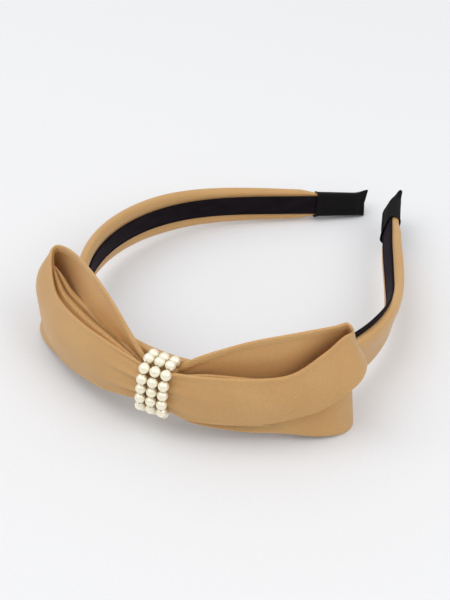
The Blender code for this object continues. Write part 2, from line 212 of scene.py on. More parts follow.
# The camera, in the band's frame: its bearing round the band, its height, its roll and distance.
CAMERA_AZIMUTH = math.radians(35.33)
CAMERA_ELEVATION = math.radians(35.55)
CAMERA_ROLL = math.radians(7.69)
CAMERA_DISTANCE = 504.25 * MM
CAMERA_TARGET = Vector((1.485, 51.726, 0)) * MM
CAMERA_LENS = 81.75
CAMERA_SENSOR = 36.0

# The studio: a dome that is dark near the horizon (height, grey), and two soft lights.
FLOOR_SIZE = 6
DOME = ((0.0, 0.55), (0.04, 0.22), (0.10, 0.22), (0.20, 0.85), (1.0, 1.0))
WORLD_STRENGTH = 0.86
KEY_PLACE = (-0.45, -0.60, 1.15)
KEY_SIZE = 1.3
KEY_POWER = 5.8
FILL_PLACE = (0.9, 0.1, 0.9)
FILL_SIZE = 0.9
FILL_POWER = 3.2

# The finishes. A wave texture repeats every WAVE_PERIOD units at scale 1.
WAVE_PERIOD = 0.314
TWILL_PITCH = 0.56
TWILL_TURN = math.radians(52)
SATIN_LIGHT = (0.700, 0.425, 0.175)
SATIN_DARK = (0.655, 0.375, 0.145)
# The loops' inner faces get a copy of the satin brightened by this gain: painted light on their
# inner walls.
INNER_WALL_LIGHT_GAIN = 1.16
THREAD_PITCH = 0.4


# ------------------------------------------------------------------------------ camera and stage


def camera():
    azimuth, elevation = CAMERA_AZIMUTH, CAMERA_ELEVATION
    back = Vector((
        math.sin(azimuth) * math.cos(elevation),
        -math.cos(azimuth) * math.cos(elevation),
        math.sin(elevation),
    ))
    level = Vector((math.cos(azimuth), math.sin(azimuth), 0))
    upright = back.cross(level)
    right = level * math.cos(CAMERA_ROLL) + upright * math.sin(CAMERA_ROLL)
    up = back.cross(right)
    turn = Matrix((right, up, back)).transposed().to_4x4()
    place = Matrix.Translation(CAMERA_TARGET + back * CAMERA_DISTANCE)
    data = bpy.data.cameras.new("photo_camera")
    data.lens = CAMERA_LENS
    data.sensor_width = CAMERA_SENSOR
    data.clip_start = 0.01
    made = bpy.data.objects.new("photo_camera", data)
    bpy.context.scene.collection.objects.link(made)
    made.matrix_world = WORLD @ place @ turn
    bpy.context.scene.camera = made


def area_light(name, place, target, size, power):
    data = bpy.data.lights.new(name, "AREA")
    data.shape = "DISK"
    data.size = size
    data.energy = power
    made = bpy.data.objects.new(name, data)
    bpy.context.scene.collection.objects.link(made)
    made.location = place
    made.rotation_euler = (Vector(target) - Vector(place)).to_track_quat("-Z", "Y").to_euler()


def studio():
    """A pale floor, a bright dome with a darker band at the horizon, and two soft lights."""
    bpy.ops.mesh.primitive_grid_add(x_subdivisions=8, y_subdivisions=8, size=FLOOR_SIZE)
    floor = bpy.context.object
    floor.name = "floor"
    floor.data.materials.append(floor_finish())
    world = bpy.data.worlds.new("studio")
    world.use_nodes = True
    bpy.context.scene.world = world
    nodes, links = world.node_tree.nodes, world.node_tree.links
    where = nodes.new("ShaderNodeTexCoord")
    split = nodes.new("ShaderNodeSeparateXYZ")
    links.new(where.outputs["Generated"], split.inputs[0])
    ramp = nodes.new("ShaderNodeValToRGB")
    links.new(split.outputs["Z"], ramp.inputs[0])
    while len(ramp.color_ramp.elements) < len(DOME):
        ramp.color_ramp.elements.new(0.5)
    for element, (place, grey) in zip(ramp.color_ramp.elements, DOME):
        element.position = place
        element.color = (grey, grey, grey * 1.01, 1)
    links.new(ramp.outputs[0], nodes["Background"].inputs["Color"])
    nodes["Background"].inputs["Strength"].default_value = WORLD_STRENGTH
    area_light("key", KEY_PLACE, (0, 0, 0.01), KEY_SIZE, KEY_POWER)
    area_light("fill", FILL_PLACE, (0, 0, 0.02), FILL_SIZE, FILL_POWER)


# ------------------------------------------------------------------------------------- materials


class Nodes:
    """A small helper that builds one material's node tree."""

    def __init__(self, name):
        self.material = bpy.data.materials.new(name)
        self.material.use_nodes = True
        self.tree = self.material.node_tree
        self.shader = self.tree.nodes["Principled BSDF"]

    def node(self, kind, **values):
        made = self.tree.nodes.new("ShaderNode" + kind)
        for key, value in values.items():
            if key in made.inputs:
                made.inputs[key].default_value = value
            else:
                setattr(made, key, value)
        return made

    def link(self, source, target):
        self.tree.links.new(source, target)

    def cloth_coordinates(self, scale, turn=0.0):
        """The cloth's own flat coordinates, in millimetres, turned and scaled."""
        place = self.node("UVMap", uv_map="cloth")
        mapping = self.node("Mapping", Scale=scale, Rotation=(0, 0, turn))
        self.link(place.outputs[0], mapping.inputs["Vector"])
        return mapping.outputs[0]

    def object_coordinates(self, scale):
        place = self.node("TexCoord")
        mapping = self.node("Mapping", Scale=scale)
        self.link(place.outputs["Object"], mapping.inputs["Vector"])
        return mapping.outputs[0]

    def noise(self, where, scale, detail=3.0, roughness=0.5):
        made = self.node("TexNoise", Scale=scale, Detail=detail, Roughness=roughness)
        self.link(where, made.inputs["Vector"])
        return made.outputs["Fac"]

    def waves(self, where, distortion=0.0):
        made = self.node("TexWave", Scale=1.0, Distortion=distortion)
        self.link(where, made.inputs["Vector"])
        return made.outputs["Fac"]

    def ramp(self, factor, stops):
        made = self.node("ValToRGB")
        elements = made.color_ramp.elements
        while len(elements) < len(stops):
            elements.new(0.5)
        for element, (place, colour) in zip(elements, stops):
            element.position = place
            element.color = (*colour, 1)
        self.link(factor, made.inputs[0])
        return made.outputs["Color"]

    def mix(self, factor, first, second, blend="MIX"):
        made = self.node("Mix", data_type="RGBA", blend_type=blend)
        for socket, value in ((0, factor), (6, first), (7, second)):
            if isinstance(value, (int, float)):
                made.inputs[socket].default_value = value
            elif isinstance(value, tuple):
                made.inputs[socket].default_value = (*value, 1)
            else:
                self.link(value, made.inputs[socket])
        return made.outputs[2]

    def blend_height(self, first, second, share):
        made = self.node("Mix", data_type="FLOAT")
        made.inputs[0].default_value = share
        self.link(first, made.inputs[2])
        self.link(second, made.inputs[3])
        return made.outputs[0]

    def bump(self, height, distance, strength=1.0):
        made = self.node("Bump", Distance=distance, Strength=strength)
        self.link(height, made.inputs["Height"])
        self.link(made.outputs[0], self.shader.inputs["Normal"])

    def set(self, **values):
        """Sets constants on the shader's sockets, by their names in small letters."""
        for key, value in values.items():
            label = key.replace("_", " ").title().replace("Ior", "IOR")
            self.shader.inputs[label].default_value = value


def floor_finish():
    made = Nodes("floor_paper")
    grain = made.noise(made.object_coordinates((1, 1, 1)), 900.0, 2.0)
    made.link(
        made.ramp(grain, ((0.3, (0.795, 0.80, 0.81)), (0.7, (0.81, 0.815, 0.825)))),
        made.shader.inputs["Base Color"],
    )
    made.set(roughness=0.85, specular_ior_level=0.2)
    return made.material


def satin_finish(name, light_gain=1.0):
    """Champagne satin: a fine diagonal twill, slubs in the yarn and soft cloudy variation."""
    made = Nodes(name)
    twill = made.waves(
        made.cloth_coordinates((WAVE_PERIOD / TWILL_PITCH,) * 3, TWILL_TURN), 0.5
    )
    slub = made.noise(made.cloth_coordinates((0.9, 5.0, 1), TWILL_TURN), 1.1, 3.0)
    cloud = made.noise(made.cloth_coordinates((0.05, 0.07, 1)), 1.0, 1.0)
    # A gain above 1 brightens both tones, for a copy that paints light onto the loops' inner
    # faces.
    dark, light = ([c * light_gain for c in tone] for tone in (SATIN_DARK, SATIN_LIGHT))
    tone = made.ramp(cloud, ((0.2, dark), (0.8, light)))
    grain = made.ramp(slub, ((0.25, (0.80, 0.78, 0.74)), (0.75, (1.0, 1.0, 1.0))))
    line = made.ramp(twill, ((0.0, (0.84, 0.82, 0.78)), (1.0, (1.0, 1.0, 1.0))))
    worn = made.mix(1.0, tone, grain, "MULTIPLY")
    made.link(made.mix(1.0, worn, line, "MULTIPLY"), made.shader.inputs["Base Color"])
    made.link(
        made.ramp(slub, ((0.2, (0.36,) * 3), (0.8, (0.47,) * 3))), made.shader.inputs["Roughness"]
    )
    made.bump(made.blend_height(twill, slub, 0.45), 0.00011, 1.0)
    made.set(sheen_weight=0.20, sheen_roughness=0.45, sheen_tint=(1.0, 0.88, 0.70, 1))
    made.set(subsurface_weight=0.22, subsurface_radius=(1.0, 0.45, 0.2), subsurface_scale=0.0012)
    made.set(specular_ior_level=0.6, specular_tint=(1.0, 0.88, 0.70, 1))
    return made.material


def lining_finish():
    """Near-black velvety ribbon with a faint purple cast and a short uneven nap."""
    made = Nodes("lining_velvet")
    nap = made.noise(made.cloth_coordinates((1.5, 1.5, 1)), 2.2, 4.0, 0.65)
    patch = made.noise(made.cloth_coordinates((0.12, 0.4, 1)), 1.0, 2.0)
    deep = made.ramp(patch, ((0.35, (0.005, 0.003, 0.0045)), (0.7, (0.011, 0.007, 0.011))))
    fleck = made.ramp(nap, ((0.35, (0.6, 0.6, 0.6)), (0.75, (1.0, 1.0, 1.0))))
    made.link(made.mix(1.0, deep, fleck, "MULTIPLY"), made.shader.inputs["Base Color"])
    made.link(
        made.ramp(nap, ((0.2, (0.78,) * 3), (0.8, (0.95,) * 3))), made.shader.inputs["Roughness"]
    )
    made.bump(nap, 0.0001, 0.7)
    made.set(sheen_weight=0.05, sheen_roughness=0.5, sheen_tint=(0.75, 0.52, 0.70, 1))
    made.set(specular_ior_level=0.12)
    return made.material


def tip_finish():
    """Black ribbed ribbon: fine cross threads over the ribs that the mesh has."""
    made = Nodes("tip_grosgrain")
    threads = made.waves(made.cloth_coordinates((WAVE_PERIOD / THREAD_PITCH,) * 3), 0.4)
    dust = made.noise(made.cloth_coordinates((1, 1, 1)), 1.4, 3.0)
    made.link(
        made.ramp(dust, ((0.3, (0.002, 0.0016, 0.0018)), (0.75, (0.006, 0.0045, 0.005)))),
        made.shader.inputs["Base Color"],
    )
    made.link(
        made.ramp(dust, ((0.2, (0.62,) * 3), (0.8, (0.8,) * 3))), made.shader.inputs["Roughness"]
    )
    made.bump(made.blend_height(threads, dust, 0.4), 0.00006, 0.8)
    made.set(sheen_weight=0.015, sheen_roughness=0.5, specular_ior_level=0.14)
    return made.material


def pearl_finish():
    """Ivory imitation pearl: a glossy lacquer over a body whose tone drifts a little."""
    made = Nodes("ivory_pearl")
    drift = made.noise(made.object_coordinates((1, 1, 1)), 260.0, 2.0)
    made.link(
        made.ramp(drift, ((0.3, (0.97, 0.89, 0.66)), (0.7, (0.99, 0.93, 0.76)))),
        made.shader.inputs["Base Color"],
    )
    made.link(
        made.ramp(drift, ((0.3, (0.20,) * 3), (0.7, (0.28,) * 3))), made.shader.inputs["Roughness"]
    )
    ripple = made.noise(made.object_coordinates((1, 1, 1)), 900.0, 2.0)
    made.bump(ripple, 0.00001, 0.4)
    made.set(metallic=0.35, coat_weight=1.0, coat_roughness=0.04, coat_ior=1.7)
    made.set(specular_ior_level=0.6)
    return made.material


def thread_finish():
    made = Nodes("cream_thread")
    twist = made.noise(made.object_coordinates((1, 1, 1)), 5000.0, 2.0)
    made.link(
        made.ramp(twist, ((0.3, (0.55, 0.48, 0.36)), (0.7, (0.80, 0.73, 0.58)))),
        made.shader.inputs["Base Color"],
    )
    made.bump(twist, 0.00005, 0.6)
    made.set(roughness=0.7, sheen_weight=0.2)
    return made.material


def core_finish():
    made = Nodes("core_moulding")
    flow_marks = made.noise(made.object_coordinates((40, 40, 300)), 4.0, 2.0)
    made.link(
        made.ramp(flow_marks, ((0.3, (0.74, 0.74, 0.72)), (0.7, (0.82, 0.82, 0.80)))),
        made.shader.inputs["Base Color"],
    )
    made.bump(flow_marks, 0.00003, 0.4)
    made.set(roughness=0.45)
    return made.material


# --------------------------------------------------------------------------------- mesh helpers


def cubic_weights(controls, samples, closed=False):
    """The weights that turn control points into a smooth curve (a uniform cubic B-spline)."""
    padded = [0, 0] + list(range(controls)) + [controls - 1] * 2
    if closed:
        padded = [j % controls for j in range(controls + 3)]
    spans = len(padded) - 3
    weights = np.zeros((samples, controls))
    for row, spot in enumerate(np.linspace(0, spans, samples, endpoint=not closed)):
        first = min(int(spot), spans - 1)
        t = spot - first
        basis = ((1 - t) ** 3, 3 * t**3 - 6 * t**2 + 4, -3 * t**3 + 3 * t**2 + 3 * t + 1, t**3)
        for j, value in enumerate(basis):
            weights[row, padded[first + j]] += value / 6
    return weights


def run_lengths(points, axis):
    """Distances along a grid's rows or columns, from the first point."""
    steps = np.linalg.norm(np.diff(points, axis=axis), axis=-1)
    shape = list(steps.shape)
    shape[axis] = 1
    return np.concatenate((np.zeros(shape), np.cumsum(steps, axis=axis)), axis=axis)


def cloth(name, points, finish, closed=False, ends=False):
    """A sheet through a grid of world points, with the cloth's flat coordinates in millimetres."""
    points = np.asarray(points, float)
    if closed:
        points = np.concatenate((points, points[:, :1]), axis=1)
    rows, columns = points.shape[:2]
    along = run_lengths(points, 0).mean(axis=1, keepdims=True) / MM
    across = run_lengths(points, 1) / MM
    across = across - across[:, -1:] / 2
    flat = np.stack((np.broadcast_to(along, across.shape), across), -1)
    used = columns - 1 if closed else columns
    made = bmesh.new()
    corners = [[made.verts.new(points[i, j]) for j in range(used)] for i in range(rows)]
    layer = made.loops.layers.uv.new("cloth")
    for i in range(rows - 1):
        for j in range(columns - 1):
            spots = ((i, j), (i + 1, j), (i + 1, j + 1), (i, j + 1))
            face = made.faces.new([corners[a][b % used] for a, b in spots])
            face.smooth = True
            for loop, (a, b) in zip(face.loops, spots):
                loop[layer].uv = flat[a, b]
    if ends:
        for ring in (corners[0][::-1], corners[-1]):
            made.faces.new(ring)
        bmesh.ops.recalc_face_normals(made, faces=made.faces)
    mesh = bpy.data.meshes.new(name)
    made.to_mesh(mesh)
    made.free()
    mesh.materials.append(finish)
    piece = bpy.data.objects.new(name, mesh)
    bpy.context.scene.collection.objects.link(piece)
    return piece


def thicken(piece, thickness, other_face):
    """Gives a sheet its thickness, its other face another finish; the loops' brighter face is
    painted light.
    """
    piece.data.materials.append(other_face)
    shell = piece.modifiers.new("cloth_thickness", "SOLIDIFY")
    shell.thickness = thickness
    shell.offset = 0.0
    shell.material_offset = 1


def to_world(points):
    turn = np.array(WORLD.to_3x3())
    return points @ turn.T + np.array(WORLD.translation)


def smooth_step(value, low, high):
    t = np.clip((value - low) / (high - low), 0, 1)
    return t * t * (3 - 2 * t)


# --------------------------------------------------------------------------------------- band


def centreline(side):
    """A table of the centreline: arc length, x, y and heading, in the band's frame."""
    arc = np.linspace(0, HALF_LENGTH + CENTRELINE_MARGIN, CENTRELINE_POINTS)
    bend = np.interp(arc, np.linspace(0, HALF_LENGTH, len(BEND[side])), BEND[side])
    step = arc[1] - arc[0]
    heading = np.concatenate(([0], np.cumsum((bend[1:] + bend[:-1]) / 2 * step)))
    middle = (heading[1:] + heading[:-1]) / 2
    x = np.concatenate(([0], np.cumsum(np.cos(middle) * step)))
    y = np.concatenate(([0], np.cumsum(np.sin(middle) * step)))
    return arc, side * x, y, side * heading


CENTRELINES = {side: centreline(side) for side in SIDES}


def band_points(side, arc, outward, across):
    """World points from their places along, out of and across the band. Arrays broadcast."""
    arc, outward, across = np.broadcast_arrays(arc, outward, across)
    table, xs, ys, headings = CENTRELINES[side]
    x, y, heading = (np.interp(arc, table, column) for column in (xs, ys, headings))
    share = (arc / HALF_LENGTH) ** 2
    twist = TWIST_AT_TIP * share
    out = outward * np.cos(twist) + across * np.sin(twist)
    high = -outward * np.sin(twist) + across * np.cos(twist) + LIFT_AT_TIP[side] * share
    return to_world(np.stack((x + out * np.sin(heading), y - out * np.cos(heading), high), -1))


def width_at(arc):
    return np.interp(arc, WIDTH_STATIONS, WIDTHS)


def thickness_at(arc):
    return np.interp(arc, THICKNESS_STATIONS, THICKNESSES)


def flex_line(side):
    """Where the arm starts to bend away from the crown, and where it has wholly turned."""
    return [tuple(band_points(side, arc, 0.0, 0.0)) for arc in (BLEND_START, BLEND_END)]


def puff(arc, phase):
    """A slow unevenness of the padding along the band."""
    return np.sin(arc / MM * 0.13 + phase) * 0.5 + np.sin(arc / MM * 0.31 + 2.1 * phase) * 0.3


def loose(side, arc):
    """How loosely the satin sits (0 to 1): it stands off the right arm just past the bow."""
    if side < 0:
        return 0 * arc
    return smooth_step(arc, *LOOSE_FROM) * (1 - smooth_step(arc, *LOOSE_TO))


def cover_controls(hand, arc):
    """The satin's section at each arc: (rows, controls, 2) of outward and across."""
    half = thickness_at(arc) / 2
    slack = loose(hand, arc)
    pinch = smooth_step(arc, *BORDER_PINCH)
    rows = []
    for sign, fullness in zip((1, -1), BORDER_FULLNESS[hand]):
        side = width_at(arc) / 2 + (LOOSE_RISE * slack if sign > 0 else 0)
        swell = fullness * MM * (1 - 0.55 * pinch) * (1 - 0.8 * slack)
        uneven = PADDING_WOBBLE * puff(arc, 1.3 * sign + 0.4)
        rim = LINING_WIDTH / 2 + sign * LINING_SHIFT * slack
        dip = np.minimum(rim + 0.1 * MM, side - 1.2 * MM)
        part = [
            (-half - 0.05 * MM, 0.9 * MM),
            (-half - 0.05 * MM, dip - 0.9 * MM),
            (-half - 0.10 * MM, dip),
            (-half - swell * 0.9 - uneven, dip + (side - dip) * 0.30),
            (-half - swell - uneven, dip + (side - dip) * 0.66),
            (-half * 0.75, side + 0.05 * MM),
            (0, side + 0.30 * MM + uneven * 0.5),
            (half * 0.85, side + 0.02 * MM),
            (half + 0.22 * MM + LOOSE_STAND_OFF * slack, side - 1.5 * MM),
            (half + 0.36 * MM + uneven + LOOSE_STAND_OFF * slack, side * 0.55),
            (half + 0.40 * MM, side * 0.15),
        ]
        part = [(out + 0 * arc, sign * (across + 0 * arc)) for out, across in part]
        rows.append(part if sign > 0 else part[::-1])
    ring = rows[0] + rows[1]
    return np.stack([np.stack(pair, -1) for pair in ring], 1)


def cover(side, finish):
    """Half of the satin cover, from the middle of the crown to under its tip wrap."""
    arc = np.linspace(0, BAND_END, BAND_RINGS)
    controls = cover_controls(side, arc)
    weights = cubic_weights(controls.shape[1], COVER_POINTS)
    section = np.einsum("sc,rcx->rsx", weights, controls)
    points = band_points(side, arc[:, None], section[..., 0], section[..., 1])
    label = SIDES[side]
    piece = cloth(f"satin_cover_{label}", points if side > 0 else points[:, ::-1], finish)
    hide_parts("cover_crown", f"cover_{label}")
    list(flex_line(side))
    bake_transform(piece)
    return piece


def lining(side, finish):
    """Half of the ribbon that lines the inner face."""
    arc = np.linspace(0, LINING_END, BAND_RINGS)
    base = -thickness_at(arc) / 2
    rim = np.minimum(LINING_WIDTH / 2, width_at(arc) / 2 - 0.35 * MM)
    uneven = 0.05 * MM * puff(arc, 0.7)
    ring = [
        (base - 0.05 * MM, rim - 0.2 * MM),
        (base - 0.25 * MM, rim + 0.02 * MM),
        (base - 0.85 * MM, rim + 0.05 * MM),
        (base - 1.08 * MM + uneven, rim - 0.35 * MM),
        (base - 1.16 * MM + uneven, rim * 0.5),
        (base - 1.16 * MM, 0),
        (base - 1.10 * MM, -rim * 0.42),
        (base - 1.02 * MM, -rim * 0.60),
        (base - 0.74 * MM, -rim * 0.68),
        (base - 1.00 * MM, -rim * 0.76),
        (base - 1.08 * MM, -rim * 0.88),
        (base - 0.85 * MM, -rim - 0.05 * MM),
        (base - 0.25 * MM, -rim - 0.02 * MM),
        (base - 0.05 * MM, -rim + 0.2 * MM),
    ]
    shift = LINING_SHIFT * loose(side, arc)
    controls = np.stack([np.stack((o + 0 * arc, c + shift), -1) for o, c in ring], 1)
    section = np.einsum("sc,rcx->rsx", cubic_weights(len(ring), LINING_POINTS, True), controls)
    points = band_points(side, arc[:, None], section[..., 0], section[..., 1])
    label = SIDES[side]
    piece = cloth(f"lining_ribbon_{label}", points, finish, closed=True, ends=True)
    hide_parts("lining_crown", f"lining_{label}")
    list(flex_line(side))
    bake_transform(piece)
    return piece


def tip_wrap(side, finish):
    """The ribbed ribbon round the end of an arm, pinched flat where it folds over the tip."""
    along = np.linspace(0, 1, WRAP_RINGS)[:, None]
    turn = np.linspace(0, 2 * np.pi, WRAP_POINTS, endpoint=False)[None, :]
    level = np.sign(np.sin(turn)) * np.abs(np.sin(turn)) ** 0.42
    start = WRAP_START[side] + WRAP_SLANT[side] * level
    arc = start + (WRAP_END - start) * along
    pinch = smooth_step(along, 0.72, 1.0)
    half_across = width_at(arc) / 2 + WRAP_SIDE_MARGIN + WRAP_FLARE * pinch
    half_across = half_across + WRAP_UPPER_FLARE * pinch**2 * np.maximum(level, 0) ** 2
    deep = (thickness_at(arc) / 2 + WRAP_FACE_MARGIN) * (1 - 0.5 * pinch)
    centre = WRAP_OFFSET * (1 - pinch)
    cos = np.cos(turn)
    outward = centre + deep * np.sign(cos) * np.abs(cos) ** 0.6
    across = half_across * level
    ribs = RIB_DEPTH * np.cos(2 * np.pi * across / RIB_PITCH) * (1 - 0.2 * pinch)
    outward = outward + np.sign(cos) * ribs * np.abs(cos) ** 0.3
    hollow = WRAP_HOLLOW * pinch * (1 - level**2)
    slant = WRAP_END_SLANT * pinch * level
    mouth = WRAP_MOUTH * (1 - smooth_step(along, 0, 0.12))
    points = band_points(side, arc - hollow + slant, outward * (1 + mouth / (2 * MM)), across)
    middle = points[-1].mean(axis=0)
    closing = [middle + (points[-1] - middle) * share for share in (0.9, 0.7, 0.4, 0.12)]
    points = np.concatenate((points, np.array(closing)))
    label = SIDES[side]
    piece = cloth(f"tip_ribbon_{label}", points, finish, closed=True)
    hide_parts(f"tip_wrap_{label}")
    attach(piece, f"{label}_arm")
    return piece


# ---------------------------------------------------------------------------------------- bow


def curve_through(points, places, wanted):
    """Catmull-Rom values at wanted places of a curve that passes its points at places."""
    points = np.asarray(points, float)
    points = points.reshape(len(points), -1)
    padded = np.vstack((2 * points[0] - points[1], points, 2 * points[-1] - points[-2]))
    index = np.clip(np.searchsorted(places, wanted, side="right") - 1, 0, len(places) - 2)
    t = ((wanted - places[index]) / (places[index + 1] - places[index]))[:, None]
    a, b, c, d = (padded[index + j] for j in range(4))
    return 0.5 * (
        2 * b + (c - a) * t + (2 * a - 5 * b + 4 * c - d) * t**2 + (3 * b - a - 3 * c + d) * t**3
    )


def loop_frame(loop):
    """The lower edge, upper edge, pleat height, station and run of evenly spread columns."""
    low = np.array([station[0] for station in loop]) * MM
    high = np.array([station[1] for station in loop]) * MM
    pleat = np.array([station[2] for station in loop]) * MM
    places = np.arange(len(loop), dtype=float)
    fine = np.linspace(0, places[-1], LOOP_CURVE_POINTS)
    middle = (curve_through(low, places, fine) + curve_through(high, places, fine)) / 2
    run = np.concatenate(([0], np.cumsum(np.linalg.norm(np.diff(middle, axis=0), axis=1))))
    even = np.linspace(0, run[-1], LOOP_COLUMNS)
    wanted = np.interp(even, run, fine)
    lower = curve_through(low, places, wanted)
    upper = curve_through(high, places, wanted)
    height = np.clip(curve_through(pleat, places, wanted)[:, 0], 0, None)
    return lower, upper, height, wanted, even


def ridge(depth, drop, width, valley):
    """One upstanding fold in the loop's mouth, in millimetres: (depth, drop below the edge)."""
    return [
        (depth - width, drop + valley * 0.7),
        (depth - width, drop + 0.9),
        (depth, drop),
        (depth + width * 0.9, drop + 0.3),
        (depth + width, drop + valley * 0.7),
    ]


def open_section(look, tall, fold, spread, belly, bulges):
    """A column's section (depth, height) with its mouth open and its pleat laid over.

    It runs from the two inner folds over the rolled edge, down the wall, round the pleat and
    along the lower layer to the hem.
    """
    upper_bulge, lower_bulge = bulges
    sunk = FOLD_SINK * (1 - spread)
    (first, first_drop), (second, second_drop) = look["ridges"]
    wide = look["ridge_width"]
    folds = ridge(first, first_drop, wide, 5.0) + ridge(second, second_drop, wide, 4.0)
    section = [
        (depth * MM * (0.2 + 0.8 * spread), tall - (drop + sunk) * MM) for depth, drop in folds
    ]
    section += [(-0.85 * MM, tall - 2.6 * MM), (-0.75 * MM, tall - 0.7 * MM)]
    section += [(-0.25 * MM, tall + 0.1 * MM), (0.35 * MM, tall - 0.25 * MM)]

    formed = min(1.0, fold / PLEAT_FULL)
    proud = formed * look["proud"]
    wall = np.linspace(tall - 1.6 * MM, fold + 1.2 * MM, WALL_CONTROLS)
    share = (wall - wall[-1]) / (wall[0] - wall[-1])
    full = (1 - proud) * np.sin(np.pi * share) ** 0.8
    full = full + proud * np.sin(np.pi * (0.3 + 0.7 * share))
    section += [
        (0.45 * MM + belly * f + upper_bulge * (1 - s) ** 0.9, h)
        for f, s, h in zip(full, share, wall)
    ]

    edge = upper_bulge + 0.8 * belly * proud
    overlap = min(fold * 0.8, PLEAT_OVERLAP)
    deep = look["overhang"] * MM * formed
    pleat = [
        (0.50 * MM, fold + 0.35 * MM),
        (0.50 * MM, fold + 0.05 * MM),
        (0.35 * MM, fold),
        (0.1 * MM - deep * 0.3, fold + 0.1 * MM),
        (-deep * 0.45, fold + overlap * 0.5),
        (-deep * 0.6, fold + overlap),
        (-deep * 0.95 - edge + lower_bulge, fold + overlap),
        (-deep - edge + lower_bulge, fold + overlap * 0.4),
    ]
    section += [(depth + edge, up) for depth, up in pleat]
    section += [
        ((lower_bulge - 0.95 * deep) * (1 - t), fold * (1 - t)) for t in (0.15, 0.5, 0.85)
    ]
    section += [(-0.1 * MM, 0.25 * MM), (-0.45 * MM, 0.0)]
    section += [(-0.85 * MM, 0.5 * MM), (-0.9 * MM, 3.0 * MM)]
    return np.array(section)


def plain_section(tall, belly, count):
    """A column's section (depth, height) as one upright wall, with the same count of controls."""
    rolled_out = (-.42, -.45, -.48, -.5, -.5, -.5, -.5, -.48, -.42, -.3, -.15, 0.0)
    rolled_down = (2.2, 1.9, 1.6, 1.3, 1.0, 0.8, 0.6, 0.4, 0.25, 0.1, 0.0, 0.0)
    hem_out = (-0.05, -0.25, -0.5, -0.5)
    hem_up = (0.1, 0.0, 0.4, 1.6)
    between = count - len(rolled_out) - len(hem_out)
    depth = np.concatenate((
        np.array(rolled_out) * MM,
        belly * np.sin(np.pi * np.linspace(0, 1, between)),
        np.array(hem_out) * MM,
    ))
    height = np.concatenate((
        tall - np.array(rolled_down) * MM,
        np.linspace(tall - 0.3 * MM, 0.4 * MM, between),
        np.array(hem_up) * MM,
    ))
    return np.stack((depth, height), -1)


def loop_sections(look, last, height, pleat, place):
    """The loop's section at every column: (columns, samples, 2) of depth and height."""
    turn_start, turn_end = look["turn"]
    front = 1 - smooth_step(place, turn_start, turn_end)
    pleated = 1 - smooth_step(place, turn_end, turn_end + PLEAT_FADE)
    start, end = look["ridge_span"]
    spread = np.sin(np.pi * np.clip((place - start) / (end - start), 0, 1)) ** 0.8 * front
    to_turn = np.clip(place / turn_end, 0, 1)
    to_end = np.clip(place / last, 0, 1)
    belly = look["belly"] * MM * np.sin(np.pi * to_turn) * front
    belly = belly + look["back_belly"] * MM * np.sin(np.pi * to_end) * (1 - front)
    at_tip = np.exp(-((place - look["tip"]) / TIP_SPREAD) ** 2)
    controls = []
    for j, tall in enumerate(height):
        bulges = [MM * at_tip[j] * size for size in look["tip_bulge"]]
        opened = open_section(look, tall, pleat[j], spread[j], belly[j], bulges)
        plain = plain_section(tall, belly[j], len(opened))
        split = np.clip((np.arange(len(opened)) - SPLIT_AT) / SPLIT_OVER, 0, 1)
        keep = (front[j] * (1 - split) + pleated[j] * split)[:, None]
        controls.append(opened * keep + plain * (1 - keep))
    controls = np.array(controls)
    weights = cubic_weights(controls.shape[1], LOOP_POINTS)
    return np.einsum("sc,rcx->rsx", weights, controls)


def creases(look, share, run):
    """Depths to add: gathers that fade away from the knot, and a soft waver of the whole wall."""
    phase = look["phase"]
    near_knot = np.minimum(run, run[-1] - run)
    gather = np.exp(-((near_knot / (look["gather_reach"] * MM)) ** 1.3))[:, None]
    waves = np.cos(2 * np.pi * (share * 2.6 + phase))
    waves = waves + 0.5 * np.cos(2 * np.pi * (share * 5.3 + 0.3 + phase))
    along = run[:, None] / MM
    soft = np.sin(along * 0.16 + share * 3.1 + phase) * 0.16 * MM
    soft = soft + np.sin(along * 0.37 - share * 5.0 + 2 * phase) * 0.05 * MM
    return look["gathers"] * MM * gather * waves + soft * np.sin(np.pi * share)


def loop_piece(side, loop, look, finish, lit_inner_satin):
    """One loop of the bow as a single sheet: inner folds, rolled edge, wall, pleat and hem."""
    lower, upper, pleat, place, run = loop_frame(loop)
    middle = (lower + upper) / 2
    heading = np.gradient(middle[:, :2], axis=0)
    heading /= np.linalg.norm(heading, axis=1)[:, None]
    normal = np.stack((heading[:, 1], -heading[:, 0], 0 * heading[:, 0]), -1) * side
    rise = upper - lower
    height = np.linalg.norm(rise, axis=1)
    rise /= height[:, None]
    section = loop_sections(look, len(loop) - 1, height, pleat, place)
    up = section[..., 1]
    depth = section[..., 0] + creases(look, np.clip(up / height[:, None], 0, 1), run)
    points = to_world(
        lower[:, None, :]
        + rise[:, None, :] * up[..., None]
        + normal[:, None, :] * depth[..., None]
    )
    points[..., 2] = np.maximum(points[..., 2], CLOTH_WALL / 2)
    label = SIDES[side]
    # The sheet gets the brightened copy of the satin and its other face the plain satin: painted
    # light on the loop's inner wall.
    piece = cloth(f"satin_loop_{label}", points if side > 0 else points[:, ::-1], lit_inner_satin)
    thicken(piece, CLOTH_WALL, finish)
    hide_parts(f"bow_loop_{label}")
    return piece


def knot_points(along, outward, across):
    """World points near the knot, on straight axes set at the knot's place on the band."""
    along, outward, across = np.broadcast_arrays(along, outward, across)
    table, xs, ys, headings = CENTRELINES[1]
    x, y, heading = (np.interp(KNOT_AT, table, column) for column in (xs, ys, headings))
    tangent = np.array((math.cos(heading), math.sin(heading), 0))
    normal = np.array((math.sin(heading), -math.cos(heading), 0))
    points = np.array((x, y, 0)) + along[..., None] * tangent + outward[..., None] * normal
    return to_world(points + across[..., None] * np.array((0, 0, 1)))


